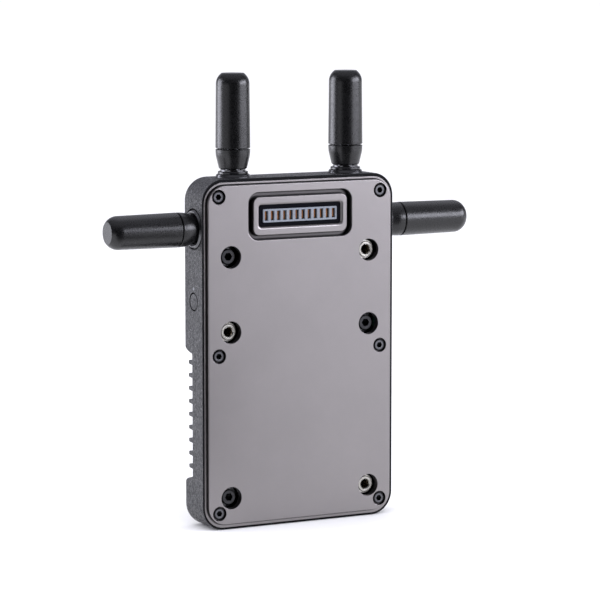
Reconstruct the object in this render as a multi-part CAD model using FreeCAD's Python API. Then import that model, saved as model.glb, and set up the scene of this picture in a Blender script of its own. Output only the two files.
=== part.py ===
"""Wireless receiver module with four screw-on stub antennas, standing on its bottom edge.

Millimetres. X runs to the right seen from the front, Y to the rear, Z up. The origin is the
middle of the bottom edge, halfway through the depth. Most depths are counted from the front
panel's face, and most heights from the middle of the body.
"""

import FreeCAD, Part

import math
import os

Vector = FreeCAD.Vector

# ---- body ----------------------------------------------------------------------------
BODY_WIDTH = 78.2
BODY_HEIGHT = 127.6
BODY_DEPTH = 17.5
BODY_CORNER = 8.5
REAR_EDGE_ROUND = 2.5
FRONT_EDGE_ROUND = 0.1
MID_Z = BODY_HEIGHT / 2
LIP_DEPTH = 1.5
WALL = 2.6
REAR_WALL = 2.0
OPENING_CORNER = 6.0
RIM_SEAL_INSET = 0.15
RIM_SEAL_THICKNESS = 0.35

# ---- front cover ---------------------------------------------------------------------
COVER_WIDTH = 76.6
COVER_LOW = -63.0
COVER_HIGH = 62.55
COVER_CORNER = 7.7
COVER_GAP = 0.1
PANEL_WIDTH = 74.6
PANEL_LOW = -61.7
PANEL_HIGH = 61.5
PANEL_CORNER = 6.8
PANEL_EDGE_ROUND = 0.3
GROOVE_WIDTH = 0.4
GROOVE_DEPTH = 0.4
BORDER_THICKNESS = 0.9
GASKET_THICKNESS = 0.4
COVER_BACK = LIP_DEPTH + BORDER_THICKNESS + GASKET_THICKNESS
PLUG_GAP = 0.2
POCKET_DEPTH = 2.0
POCKET_WIDTH = 44.0
POCKET_LOW = -58.0
POCKET_HIGH = 36.0
SCREW_CLEARANCE = 0.1
PRESS_CLEARANCE = 0.03

# ---- screws and bushes in the front face ---------------------------------------------
HEAD_CHAMFER_SHARE = 0.15
SOCKET_DEPTH_SHARE = 0.85
SOCKET_POINT_SHARE = 0.3
HOLE_SPARE = 0.4
COVER_SCREW_X = 33.05
COVER_SCREW_ROWS = (57.5, 0.0, -57.5)
COVER_SCREW_SINK = 0.3
COVER_HEAD_RADIUS = 2.2
COVER_HEAD_HEIGHT = 1.6
COVER_COUNTERBORE = 2.7
COVER_SHANK_RADIUS = 1.25
COVER_SHANK_LENGTH = 6.0
COVER_BOSS_RADIUS = 2.75
COVER_SOCKET_FLATS = 2.0

DEEP_HOLE_X = 28.26
DEEP_HOLE_ROWS = (35.67, 8.41, -52.11)
DEEP_HOLE_RADIUS = 4.1
DEEP_HOLE_CHAMFER = 0.25
FRAME_SCREW_SIDES = (-1, 1, -1)
HEAD_SINK = 2.25
FRAME_HEAD_RADIUS = 2.85
FRAME_SHANK_RADIUS = 1.5
FRAME_SHANK_LENGTH = 7.0
FRAME_SOCKET_FLATS = 2.7
BUSH_NOSE_RADIUS = 2.9
BUSH_NOSE_LENGTH = 0.75
BUSH_SHOULDER_RADIUS = 3.45
BUSH_SHANK_RADIUS = 2.5
BUSH_LENGTH = 9.0
BUSH_BORE_RADIUS = 1.65
BUSH_CHAMFER = 0.35
PILLAR_RADIUS = 4.0

# ---- contact connector ---------------------------------------------------------------
CONNECTOR_Z = 49.95
MOAT_SIZE = (42.3, 17.36)
MOAT_CORNER = 4.0
ISLAND_SIZE = (38.26, 13.76)
ISLAND_CORNER = 2.4
MOAT_DEPTH = 2.4
MOAT_FLOOR = 1.1
MOAT_BACK = MOAT_DEPTH + MOAT_FLOOR
MOAT_EDGE_ROUND = 0.25
WINDOW_SIZE = (33.3, 7.72)
WINDOW_CORNER = 0.8
WINDOW_EDGE_ROUND = 1.0
CONTACT_COUNT = 12
CONTACT_PITCH = 2.5
BLOCK_SIZE = (30.0, 4.8)
BLOCK_CORNER = 0.3
BLOCK_SINK = 0.3
BLOCK_THICKNESS = 1.0
BLOCK_BACK = BLOCK_SINK + BLOCK_THICKNESS
SLOT_SIZE = (1.45, 3.5)
SLOT_FLOOR = 2.5
STRIP_SIZE = (0.8, 3.0)
STRIP_FRONT = 1.2
SURROUND_FRONT = 0.9
SURROUND_GAP = 0.05
BASE_SIZE = (35.2, 9.2)
BASE_CORNER = 0.6
BASE_GAP = 0.2
BASE_FRONT = COVER_BACK + 0.1

# ---- rear recess and cooling ribs ----------------------------------------------------
RECESS_FLOOR = 9.9
RECESS_TOP = 0.3
RECESS_BOTTOM = -45.1
RECESS_FOOT_ROUND = 0.7
RECESS_SLOPE = math.radians(14.0)
RECESS_SHOULDER_ROUND = 5.9
RIB_COUNT = 9
RIB_PITCH = 4.76
RIB_TOP_DEPTH = 12.8
RIB_FOOT = 1.9
RIB_TIP = 1.4
RIB_TIP_ROUND = 0.5
RIB_ROOT = 0.5
RIB_MIDDLE = -22.05
SHALLOW_MARGIN = 4.7
SHALLOW_FLOOR = RECESS_FLOOR - REAR_WALL
DEEP_FLOOR = BODY_DEPTH - REAR_WALL
SHALLOW_TOP = RECESS_TOP + SHALLOW_MARGIN
SHALLOW_BOTTOM = RECESS_BOTTOM - SHALLOW_MARGIN

# ---- inner frame and main board ------------------------------------------------------
FRAME_FRONT = 4.35
FRAME_THICKNESS = 0.8
FRAME_WIDTH = 64.8
FRAME_LOW = -56.5
FRAME_HIGH = 40.0
FRAME_BAR = 8.4
FRAME_NOTCH = 4.0
FRAME_WINDOW_CORNER = 2.0
BOARD_FRONT = 5.4
BOARD_THICKNESS = 1.0
BOARD_BACK = BOARD_FRONT + BOARD_THICKNESS
BOARD_HALF_WIDTH = 34.5
BOARD_WIDE_ROWS = (-47.0, 31.0)
BOARD_NARROW_HALF_WIDTH = 23.0
BOARD_NARROW_ROWS = (-60.0, 51.0)
BOARD_TAB_HALF_WIDTH = 17.5
BOARD_TAB_ROWS = (50.0, 56.0)
BOARD_CLEARANCE = 0.6
BOARD_SCREW_X = 20.0
BOARD_SCREW_ROWS = (24.0, -12.0, -43.0)
BOARD_HEAD_RADIUS = 1.8
BOARD_HEAD_HEIGHT = 1.3
BOARD_SHANK_RADIUS = 1.0
BOARD_SHANK_LENGTH = 3.5
BOARD_SOCKET_FLATS = 1.5
BOARD_POST_RADIUS = 2.2
PAD_THICKNESS = 0.5
PAD_INSET = 0.5
CAN_WALL = 0.3
CAN_DEPTH = 2.4
RADIO_THICKNESS = 0.9
INDUCTOR_THICKNESS = 3.0
# centre x, centre z, width and height of the packages on the board
PROCESSOR = (0.0, -24.0, 15.0, 15.0)
MEMORY = ((-14.0, -24.0, 8.0, 12.0), (14.0, -24.0, 8.0, 12.0))
RADIOS = ((-9.0, 27.0, 9.0, 9.0), (9.0, 27.0, 9.0, 9.0))
CANS = ((-9.0, 27.0, 16.0, 16.0), (9.0, 27.0, 16.0, 16.0))
INDUCTORS = tuple((x, 11.5, 5.0, 5.0) for x in (-12.0, -4.0, 4.0, 12.0))

# ---- pairing button and status light on the left side --------------------------------
SIDE_X = BODY_WIDTH / 2
BUTTON_DEPTH = 8.5
BUTTON_Z = 19.3
BUTTON_RADIUS = 2.95
BUTTON_HOLE_RADIUS = 3.4
BUTTON_FLANGE_RADIUS = 3.9
BUTTON_FLANGE_GAP = 0.3
BUTTON_FLANGE = 0.8
BUTTON_STEM_RADIUS = 1.5
BUTTON_TRAVEL = 0.4
PLUNGER_X = -34.4
PLUNGER_RADIUS = 1.0
PLUNGER_LENGTH = 1.4
SWITCH_FACE_X = -33.7
SWITCH_SIZE = (3.5, 4.4, 6.0)
LIGHT_Z = 24.0
LIGHT_RADIUS = 0.6
LED_HEIGHT = 0.7
LED_X = (-34.3, -32.9)
GUIDE_REACH = 1.2
BUTTON_EDGE_ROUND = 0.2
PLUNGER_GAP = 0.08
SWITCH_SPARE = 0.3

# ---- antennas and their jacks: distances outward along each antenna's axis -----------
ANTENNA_DEPTH = 8.6
TOP_ANTENNA_X = 23.1
SIDE_ANTENNA_Z = 45.6
SIDE_PORT_SINK = 3.7
PORT_RECESS_RADIUS = 5.5
PORT_BOSS_HALF = 8.2
BEZEL_FOOT_RADIUS = 7.0
BEZEL_RIM_RADIUS = 6.5
BEZEL_INNER_RADIUS = 6.2
BEZEL_HEIGHT = 0.7
BEZEL_SINK = 0.5
BEZEL_NECK_RADIUS = 6.55
BEZEL_SEAT_RADIUS = 6.6
BEZEL_GROOVE_RADIUS = 7.5
BEZEL_GROOVE_FRONT = 2.05
JACK_THREAD_RADIUS = 3.175
JACK_HOLE_RADIUS = 3.25
JACK_FLANGE_HEIGHT = 1.1
TOP_FLANGE_RADIUS = 6.35
TOP_SEAL_RADIUS = 5.5
SIDE_FLANGE_RADIUS = 5.2
SIDE_SEAL_RADIUS = 5.15
JACK_SEAL_HEIGHT = 1.1
JACK_HUB_RADIUS = 4.6
JACK_HUB_END = 2.7
JACK_BARREL_END = 7.6
JACK_MOUTH_RADIUS = 2.3
JACK_MOUTH_FLOOR = 5.7
JACK_BORE_RADIUS = 2.05
JACK_SHANK_END = -6.6
JACK_TAIL_END = -9.0
JACK_TAIL_RADIUS = 1.5
JACK_CONTACT_RADIUS = 0.635
WASHER_THICKNESS = 0.5
JACK_NUT_FLATS = 8.0
JACK_NUT_HEIGHT = 2.2
COAX_RADIUS = 0.565
COAX_BEND = 2.8
COAX_START = -8.2
COAX_SOCKET_RADIUS = 1.0
COAX_SOCKET_HEIGHT = 0.8
COAX_PLUG_RADIUS = 1.5
COAX_PLUG_REACH = 0.8
TOP_PLUG = (12.0, 49.0)
SIDE_PLUG_X = 15.5

COLLAR_START = 3.0
COLLAR_END = 10.1
COLLAR_LIP_START = 9.0
COLLAR_BORE_RADIUS = 3.225
COLLAR_LEAD_IN = 0.2
# outside of the collar: distance along the axis, radius
COLLAR_OUTLINE = (
    (COLLAR_START, 4.75),
    (3.35, 5.12),
    (7.3, 6.06),
    (8.0, 6.18),
    (8.9, 6.25),
    (9.95, 6.28),
    (COLLAR_END, 6.1),
)
SLEEVE_START = 10.5
SLEEVE_END = 37.5
SLEEVE_EDGE = 0.2
SLEEVE_FOOT_RADIUS = 6.3
SLEEVE_SHOULDER = 33.4
SLEEVE_SHOULDER_RADIUS = 6.07
SLEEVE_TIP_MIDDLE = (36.35, 5.15)
SLEEVE_TIP_RADIUS = 4.0
SLEEVE_HOLLOW_RADIUS = 3.6
SLEEVE_HOLLOW_END = 34.5
FERRULE_FACE = 6.0
FERRULE_RADIUS = 2.25
FERRULE_SHANK_RADIUS = 2.5
FERRULE_END = 16.0
FERRULE_FLANGE = (7.9, 8.7)
FERRULE_FLANGE_RADIUS = 3.0
FERRULE_BORE_RADIUS = 1.75
PIN_RADIUS = 0.45
PIN_START = 3.7
PIN_TIP = 0.2
RADIATOR_RADIUS = 1.2
RADIATOR_END = 33.0

PARTS = {}


# ---- helpers -------------------------------------------------------------------------
def behind(depth):
    """Y of a point this far behind the front panel's face."""
    return depth - BODY_DEPTH / 2


def point(x, depth, z):
    """Point from an offset, a depth behind the face and a height from the body's middle."""
    return Vector(x, behind(depth), MID_Z + z)


def block(x_range, depth_range, z_range):
    """Plain box between pairs of limits."""
    size = [high - low for low, high in (x_range, depth_range, z_range)]
    corner = point(x_range[0], depth_range[0], z_range[0])
    return Part.makeBox(size[0], size[1], size[2], corner)


def slab(size, corner, depth_range, centre_z=0.0):
    """Upright rounded rectangle, centred left to right, between two depths."""
    half_x = size[0] / 2
    half_z = size[1] / 2
    shape = block(
        (-half_x, half_x), depth_range, (centre_z - half_z, centre_z + half_z)
    )
    upright = [e for e in shape.Edges if abs(e.tangentAt(e.FirstParameter).y) > 0.99]
    return shape.makeFillet(corner, upright)


def edges_at(shape, depth):
    """Edges that lie in one plane parallel to the front."""
    plane = behind(depth)
    return [e for e in shape.Edges if all(abs(v.Y - plane) < 0.01 for v in e.Vertexes)]


def peg(radius, x, z, depth_range):
    """Cylinder that runs front to back."""
    length = depth_range[1] - depth_range[0]
    return Part.makeCylinder(radius, length, point(x, depth_range[0], z), Vector(0, 1, 0))


def side_peg(radius, depth, z, x_range):
    """Cylinder that runs left to right."""
    return Part.makeCylinder(
        radius, x_range[1] - x_range[0], point(x_range[0], depth, z), Vector(1, 0, 0)
    )


def hexagon(across_flats, length):
    """Hexagonal bar that rises from the origin along Z."""
    radius = across_flats / math.sqrt(3)
    corners = [
        Vector(radius * math.cos(math.radians(a)), radius * math.sin(math.radians(a)), 0)
        for a in range(0, 361, 60)
    ]
    return Part.Face(Part.makePolygon(corners)).extrude(Vector(0, 0, length))


def turned(profile):
    """Solid of revolution about Z from a closed list of (distance along Z, radius)."""
    corners = [Vector(radius, 0, along) for along, radius in profile]
    outline = Part.Face(Part.makePolygon(corners + corners[:1]))
    return outline.revolve(Vector(0, 0, 0), Vector(0, 0, 1), 360)


def aimed(shape, base, direction):
    """Copy of a shape made along Z, with its origin at base and Z turned to a direction."""
    turn = FreeCAD.Rotation(Vector(0, 0, 1), direction)
    placed = shape.copy()
    placed.Placement = FreeCAD.Placement(base, turn).multiply(shape.Placement)
    return placed


def to_front(shape, x, depth, z):
    """Copy of a shape made along Z, with Z turned out of the front face."""
    return aimed(shape, point(x, depth, z), Vector(0, -1, 0))


def socket_screw(head_radius, head_height, shank_radius, shank_length, flats):
    """Socket-head screw along Z, with the top of its head at the origin."""
    chamfer = HEAD_CHAMFER_SHARE * head_height
    screw = turned(
        [
            (0, 0),
            (0, head_radius - chamfer),
            (-chamfer, head_radius),
            (-head_height, head_radius),
            (-head_height, shank_radius),
            (-head_height - shank_length, shank_radius),
            (-head_height - shank_length, 0),
        ]
    )
    socket_depth = SOCKET_DEPTH_SHARE * head_height
    socket = hexagon(flats, socket_depth)
    socket.translate(Vector(0, 0, -socket_depth))
    point_height = SOCKET_POINT_SHARE * flats
    drill_point = turned([(-socket_depth - point_height, 0), (-socket_depth, flats / 2), (0, 0)])
    return screw.cut([socket, drill_point])


def add(name, *shapes):
    """Keep the shapes as one named sub-part."""
    PARTS[name] = shapes[0] if len(shapes) == 1 else Part.makeCompound(list(shapes))


def both_sides(x, rows):
    """Places at plus and minus x on each row."""
    return [(side * x, z) for z in rows for side in (-1, 1)]


COVER_SCREWS = both_sides(COVER_SCREW_X, COVER_SCREW_ROWS)
DEEP_HOLES = both_sides(DEEP_HOLE_X, DEEP_HOLE_ROWS)
BOARD_SCREWS = both_sides(BOARD_SCREW_X, BOARD_SCREW_ROWS)
FRAME_SCREWS = [
    (side * DEEP_HOLE_X, z)
    for side, z in zip(FRAME_SCREW_SIDES, DEEP_HOLE_ROWS, strict=True)
]
BUSHES = [
    (-side * DEEP_HOLE_X, z)
    for side, z in zip(FRAME_SCREW_SIDES, DEEP_HOLE_ROWS, strict=True)
]
TOP_PLANE = BODY_HEIGHT / 2
# name: (point where the axis leaves the seat of the jack, direction outward)
PORTS = {
    "top_left": (point(-TOP_ANTENNA_X, ANTENNA_DEPTH, TOP_PLANE), Vector(0, 0, 1)),
    "top_right": (point(TOP_ANTENNA_X, ANTENNA_DEPTH, TOP_PLANE), Vector(0, 0, 1)),
    "side_left": (
        point(SIDE_PORT_SINK - SIDE_X, ANTENNA_DEPTH, SIDE_ANTENNA_Z),
        Vector(-1, 0, 0),
    ),
    "side_right": (
        point(SIDE_X - SIDE_PORT_SINK, ANTENNA_DEPTH, SIDE_ANTENNA_Z),
        Vector(1, 0, 0),
    ),
}


# ---- rear housing --------------------------------------------------------------------
def outer_body():
    """Rounded outer block with a soft rear edge and a slightly rounded front edge."""
    body = slab((BODY_WIDTH, BODY_HEIGHT), BODY_CORNER, (LIP_DEPTH, BODY_DEPTH))
    body = body.makeFillet(REAR_EDGE_ROUND, edges_at(body, BODY_DEPTH))
    return body.makeFillet(FRONT_EDGE_ROUND, edges_at(body, LIP_DEPTH))


def cover_outline(gap, corner, depth_range):
    """Slab of the cover's outline, made larger all round by a gap."""
    size = (COVER_WIDTH + 2 * gap, COVER_HIGH - COVER_LOW + 2 * gap)
    return slab(size, corner, depth_range, (COVER_HIGH + COVER_LOW) / 2)


def recess_half(direction, foot_z):
    """Points of one flank of the rear recess: foot, round, slope and shoulder arc."""
    sine = math.sin(RECESS_SLOPE)
    cosine = math.cos(RECESS_SLOPE)
    foot_round = RECESS_FOOT_ROUND
    slope_start = (RECESS_FLOOR + foot_round * (1 + sine), foot_z)
    foot_z_low = foot_z - direction * foot_round * cosine
    centre_depth = BODY_DEPTH - RECESS_SHOULDER_ROUND
    slope_end_depth = centre_depth + RECESS_SHOULDER_ROUND * sine
    run = slope_end_depth - slope_start[0]
    slope_end_z = foot_z + direction * run * math.tan(RECESS_SLOPE)
    centre_z = slope_end_z + direction * RECESS_SHOULDER_ROUND * cosine
    half_turn = math.radians(45) + RECESS_SLOPE / 2
    shoulder_middle = (
        centre_depth + RECESS_SHOULDER_ROUND * math.sin(half_turn),
        centre_z - direction * RECESS_SHOULDER_ROUND * math.cos(half_turn),
    )
    foot_middle = (
        RECESS_FLOOR + foot_round * (1 - math.cos(math.radians(45) - RECESS_SLOPE / 2)),
        foot_z_low + direction * foot_round * math.sin(math.radians(45) - RECESS_SLOPE / 2),
    )
    return {
        "foot": (RECESS_FLOOR, foot_z_low),
        "foot_middle": foot_middle,
        "slope_start": slope_start,
        "slope_end": (slope_end_depth, slope_end_z),
        "shoulder_middle": shoulder_middle,
        "shoulder": (BODY_DEPTH, centre_z),
    }


def recess_cutter():
    """Space behind the ribs, open to the rear and to both sides."""
    left_x = -SIDE_X - 1
    flanks = [recess_half(1, RECESS_TOP), recess_half(-1, RECESS_BOTTOM)]
    edges = []
    for flank in flanks:
        place = {key: point(left_x, depth, z) for key, (depth, z) in flank.items()}
        foot_arc = Part.Arc(place["foot"], place["foot_middle"], place["slope_start"])
        shoulder = (place["slope_end"], place["shoulder_middle"], place["shoulder"])
        edges.append(foot_arc.toShape())
        edges.append(Part.LineSegment(place["slope_start"], place["slope_end"]).toShape())
        edges.append(Part.Arc(*shoulder).toShape())
    top, bottom = (
        {key: point(left_x, depth, z) for key, (depth, z) in flank.items()}
        for flank in flanks
    )
    clear = Vector(0, 1, 0)
    edges.append(Part.LineSegment(top["foot"], bottom["foot"]).toShape())
    edges.append(Part.LineSegment(top["shoulder"], top["shoulder"] + clear).toShape())
    edges.append(
        Part.LineSegment(top["shoulder"] + clear, bottom["shoulder"] + clear).toShape()
    )
    edges.append(Part.LineSegment(bottom["shoulder"] + clear, bottom["shoulder"]).toShape())
    outline = Part.Wire(Part.__sortEdges__(edges))
    return Part.Face(outline).extrude(Vector(BODY_WIDTH + 2, 0, 0))


def cooling_ribs():
    """Nine ribs across the recess, with rounded crests."""
    foot = RECESS_FLOOR - RIB_ROOT
    ribs = []
    for index in range(RIB_COUNT):
        z = RIB_MIDDLE + (index - (RIB_COUNT - 1) / 2) * RIB_PITCH
        corners = [
            point(-SIDE_X, foot, z - RIB_FOOT / 2),
            point(-SIDE_X, RIB_TOP_DEPTH, z - RIB_TIP / 2),
            point(-SIDE_X, RIB_TOP_DEPTH, z + RIB_TIP / 2),
            point(-SIDE_X, foot, z + RIB_FOOT / 2),
        ]
        outline = Part.Face(Part.makePolygon(corners + corners[:1]))
        rib = outline.extrude(Vector(BODY_WIDTH, 0, 0))
        crest = behind(RIB_TOP_DEPTH)
        ends = (-SIDE_X, SIDE_X)
        edges = [
            e
            for e in rib.Edges
            if all(abs(v.Y - crest) < 0.01 for v in e.Vertexes)
            and {round(v.X, 2) for v in e.Vertexes} == {round(x, 2) for x in ends}
        ]
        ribs.append(rib.makeFillet(RIB_TIP_ROUND, edges))
    return ribs


def cavity():
    """Hollow of the housing: deep above and below, shallow in front of the ribs."""
    size = (BODY_WIDTH - 2 * WALL, BODY_HEIGHT - 2 * WALL)
    full = slab(size, OPENING_CORNER, (LIP_DEPTH, DEEP_FLOOR))
    shallow = block(
        (-SIDE_X, SIDE_X), (SHALLOW_FLOOR, BODY_DEPTH), (SHALLOW_BOTTOM, SHALLOW_TOP)
    )
    return full.cut(shallow)


def housing_bosses():
    """Screw bosses, pillars, board posts and port blocks that stand inside the hollow."""
    frame_back = FRAME_FRONT + FRAME_THICKNESS
    parts = [peg(COVER_BOSS_RADIUS, x, z, (COVER_BACK, DEEP_FLOOR)) for x, z in COVER_SCREWS]
    parts += [peg(PILLAR_RADIUS, x, z, (frame_back, DEEP_FLOOR)) for x, z in DEEP_HOLES]
    parts += [peg(BOARD_POST_RADIUS, x, z, (BOARD_BACK, DEEP_FLOOR)) for x, z in BOARD_SCREWS]
    inner_x = SIDE_X - SIDE_PORT_SINK - WALL
    z_range = (SIDE_ANTENNA_Z - PORT_BOSS_HALF, SIDE_ANTENNA_Z + PORT_BOSS_HALF)
    for side in (-1, 1):
        x_range = sorted((side * inner_x, side * (SIDE_X - 1)))
        parts.append(block(x_range, (COVER_BACK, DEEP_FLOOR), z_range))
    return parts


def housing_holes():
    """Holes for screws, bushes, jacks, button and light."""
    frame_back = FRAME_FRONT + FRAME_THICKNESS
    cover_tip = COVER_SCREW_SINK + COVER_HEAD_HEIGHT + COVER_SHANK_LENGTH + HOLE_SPARE
    holes = [peg(COVER_SHANK_RADIUS, x, z, (COVER_BACK - 1, cover_tip)) for x, z in COVER_SCREWS]
    frame_tip = FRAME_FRONT + FRAME_SHANK_LENGTH + HOLE_SPARE
    holes += [peg(FRAME_SHANK_RADIUS, x, z, (frame_back - 1, frame_tip)) for x, z in FRAME_SCREWS]
    bush_tip = HEAD_SINK + BUSH_LENGTH
    holes += [peg(BUSH_SHANK_RADIUS, x, z, (frame_back - 1, bush_tip)) for x, z in BUSHES]
    board_tip = BOARD_FRONT + BOARD_SHANK_LENGTH + HOLE_SPARE / 2
    board_bore = BOARD_SHANK_RADIUS + PRESS_CLEARANCE
    holes += [peg(board_bore, x, z, (BOARD_BACK - 1, board_tip)) for x, z in BOARD_SCREWS]
    through = Part.makeCylinder(JACK_HOLE_RADIUS, 2 * WALL)
    recess = Part.makeCylinder(PORT_RECESS_RADIUS, 2 * SIDE_PORT_SINK)
    for name, (seat, direction) in PORTS.items():
        holes.append(aimed(through, seat - direction * 1.5 * WALL, direction))
        if name.startswith("side"):
            holes.append(aimed(recess, seat, direction))
            holes += bezel_seat(seat, direction)
    inside = 4 * LIGHT_RADIUS - SIDE_X + WALL
    holes.append(side_peg(BUTTON_HOLE_RADIUS, BUTTON_DEPTH, BUTTON_Z, (-SIDE_X - 1, inside)))
    holes.append(side_peg(LIGHT_RADIUS, BUTTON_DEPTH, LIGHT_Z, (-SIDE_X - 1, inside)))
    return holes


def bezel_seat(seat, direction):
    """Shallow seat for a bezel, and the shadow gap round it that stops short of the rim."""
    base = seat + direction * (SIDE_PORT_SINK - BEZEL_SINK)
    disc = aimed(Part.makeCylinder(BEZEL_SEAT_RADIUS, 1), base, direction)
    gap = aimed(Part.makeCylinder(BEZEL_GROOVE_RADIUS, 1), base, direction)
    behind_rim = block((-BODY_WIDTH, BODY_WIDTH), (BEZEL_GROOVE_FRONT, BODY_DEPTH), (0, MID_Z))
    return [disc, gap.common(behind_rim)]


def rear_housing():
    """Die-cast rear shell."""
    seat_corner = COVER_CORNER + COVER_GAP
    seat = cover_outline(COVER_GAP, seat_corner, (LIP_DEPTH - 1, COVER_BACK))
    shell = outer_body().cut(cavity())
    inside = outer_body().cut(seat)
    bosses = [boss.common(inside) for boss in housing_bosses()]
    shell = shell.cut(seat).fuse(bosses)
    shell = shell.cut(recess_cutter())
    shell = shell.fuse(cooling_ribs())
    return shell.cut([rim_seal(), *housing_holes()]).removeSplitter()


def rim_seal():
    """Flat black rubber seal let into the housing's front rim, round the cover."""
    depths = (LIP_DEPTH, LIP_DEPTH + RIM_SEAL_THICKNESS)
    size = (BODY_WIDTH - 2 * RIM_SEAL_INSET, BODY_HEIGHT - 2 * RIM_SEAL_INSET)
    outer = slab(size, BODY_CORNER - RIM_SEAL_INSET, depths)
    return outer.cut(cover_outline(COVER_GAP, COVER_CORNER + COVER_GAP, depths))


# ---- front cover ---------------------------------------------------------------------
def front_cover():
    """Plate with a raised panel, a thin border round it and an island round the contacts."""
    border_back = LIP_DEPTH + BORDER_THICKNESS
    border = cover_outline(0, COVER_CORNER, (LIP_DEPTH, border_back))
    panel_size = (PANEL_WIDTH, PANEL_HIGH - PANEL_LOW)
    panel_middle = (PANEL_HIGH + PANEL_LOW) / 2
    groove_size = (panel_size[0] + 2 * GROOVE_WIDTH, panel_size[1] + 2 * GROOVE_WIDTH)
    groove_depths = (LIP_DEPTH - 1, LIP_DEPTH + GROOVE_DEPTH)
    groove = slab(groove_size, PANEL_CORNER + GROOVE_WIDTH, groove_depths, panel_middle)
    panel = slab(panel_size, PANEL_CORNER, (0, border_back), panel_middle)
    panel = panel.makeFillet(PANEL_EDGE_ROUND, edges_at(panel, 0))
    plug_inset = WALL + PLUG_GAP
    plug_size = (BODY_WIDTH - 2 * plug_inset, BODY_HEIGHT - 2 * plug_inset)
    plug = slab(plug_size, OPENING_CORNER - PLUG_GAP, (border_back - 0.5, COVER_BACK))
    cover = border.cut(groove).fuse([panel, plug])
    pocket_height = POCKET_HIGH - POCKET_LOW
    pocket_middle = (POCKET_HIGH + POCKET_LOW) / 2
    pocket_size = (POCKET_WIDTH, pocket_height)
    pocket = slab(pocket_size, MOAT_CORNER, (POCKET_DEPTH, COVER_BACK + 1), pocket_middle)
    cover = contact_surround(cover.cut(pocket))
    return cover.cut(cover_holes()).removeSplitter()


def contact_surround(cover):
    """Cover with the moat, the island and the contact window, all with rounded front edges."""
    back_size = [length + 2 * MOAT_FLOOR for length in MOAT_SIZE]
    back_depths = (LIP_DEPTH, MOAT_BACK)
    back = slab(back_size, MOAT_CORNER + MOAT_FLOOR, back_depths, CONNECTOR_Z)
    base_size = [length + 2 * BASE_GAP for length in BASE_SIZE]
    base = slab(base_size, BASE_CORNER + BASE_GAP, (COVER_BACK, MOAT_BACK + 1), CONNECTOR_Z)
    moat = slab(MOAT_SIZE, MOAT_CORNER, (-1, MOAT_DEPTH), CONNECTOR_Z)
    island = slab(ISLAND_SIZE, ISLAND_CORNER, (-1, MOAT_DEPTH), CONNECTOR_Z)
    window = slab(WINDOW_SIZE, WINDOW_CORNER, (-1, MOAT_BACK + 1), CONNECTOR_Z)
    cover = cover.fuse(back).cut([base, moat.cut(island), window]).removeSplitter()
    cover = round_outline(cover, WINDOW_SIZE, WINDOW_EDGE_ROUND)
    cover = round_outline(cover, ISLAND_SIZE, MOAT_EDGE_ROUND)
    return round_outline(cover, MOAT_SIZE, MOAT_EDGE_ROUND)


def round_outline(cover, size, radius):
    """Round the front edge of one rounded rectangle about the contacts' centre."""
    limits = (size[0] / 2 + 0.01, size[1] / 2 + 0.01)
    middle = MID_Z + CONNECTOR_Z
    edges = []
    for edge in edges_at(cover, 0):
        box = edge.BoundBox
        reach = max(abs(box.XMin), abs(box.XMax))
        rise = max(abs(box.ZMin - middle), abs(box.ZMax - middle))
        on_side = abs(reach - size[0] / 2) < 0.01 and rise < limits[1]
        on_end = abs(rise - size[1] / 2) < 0.01 and reach < limits[0]
        if on_side or on_end:
            edges.append(edge)
    return cover.makeFillet(radius, edges)


def cover_holes():
    """Counterbored screw holes and the six deep holes, chamfered at the face."""
    seat = COVER_SCREW_SINK + COVER_HEAD_HEIGHT
    holes = [peg(COVER_COUNTERBORE, x, z, (-1, seat)) for x, z in COVER_SCREWS]
    shank = COVER_SHANK_RADIUS + SCREW_CLEARANCE
    holes += [peg(shank, x, z, (0, COVER_BACK + 1)) for x, z in COVER_SCREWS]
    holes += [peg(DEEP_HOLE_RADIUS, x, z, (-1, COVER_BACK + 1)) for x, z in DEEP_HOLES]
    flare = Part.makeCone(
        DEEP_HOLE_RADIUS - DEEP_HOLE_CHAMFER,
        DEEP_HOLE_RADIUS + DEEP_HOLE_CHAMFER,
        2 * DEEP_HOLE_CHAMFER,
    )
    holes += [to_front(flare, x, DEEP_HOLE_CHAMFER, z) for x, z in DEEP_HOLES]
    return holes


def cover_gasket():
    """Flat seal between the cover's border and the housing's ledge."""
    depths = (LIP_DEPTH + BORDER_THICKNESS, COVER_BACK)
    inner_inset = WALL - COVER_GAP
    inner_size = (BODY_WIDTH - 2 * inner_inset, BODY_HEIGHT - 2 * inner_inset)
    outer = cover_outline(-COVER_GAP, COVER_CORNER - COVER_GAP, depths)
    return outer.cut(slab(inner_size, OPENING_CORNER + COVER_GAP, depths))


# ---- fasteners -----------------------------------------------------------------------
def cover_screws():
    head = (COVER_HEAD_RADIUS, COVER_HEAD_HEIGHT)
    screw = socket_screw(*head, COVER_SHANK_RADIUS, COVER_SHANK_LENGTH, COVER_SOCKET_FLATS)
    return [to_front(screw, x, COVER_SCREW_SINK, z) for x, z in COVER_SCREWS]


def frame_screws():
    head = (FRAME_HEAD_RADIUS, FRAME_FRONT - HEAD_SINK)
    screw = socket_screw(*head, FRAME_SHANK_RADIUS, FRAME_SHANK_LENGTH, FRAME_SOCKET_FLATS)
    return [to_front(screw, x, HEAD_SINK, z) for x, z in FRAME_SCREWS]


def board_screws():
    head = (BOARD_HEAD_RADIUS, BOARD_HEAD_HEIGHT)
    screw = socket_screw(*head, BOARD_SHANK_RADIUS, BOARD_SHANK_LENGTH, BOARD_SOCKET_FLATS)
    head_top = BOARD_FRONT - BOARD_HEAD_HEIGHT
    return [to_front(screw, x, head_top, z) for x, z in BOARD_SCREWS]


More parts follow.
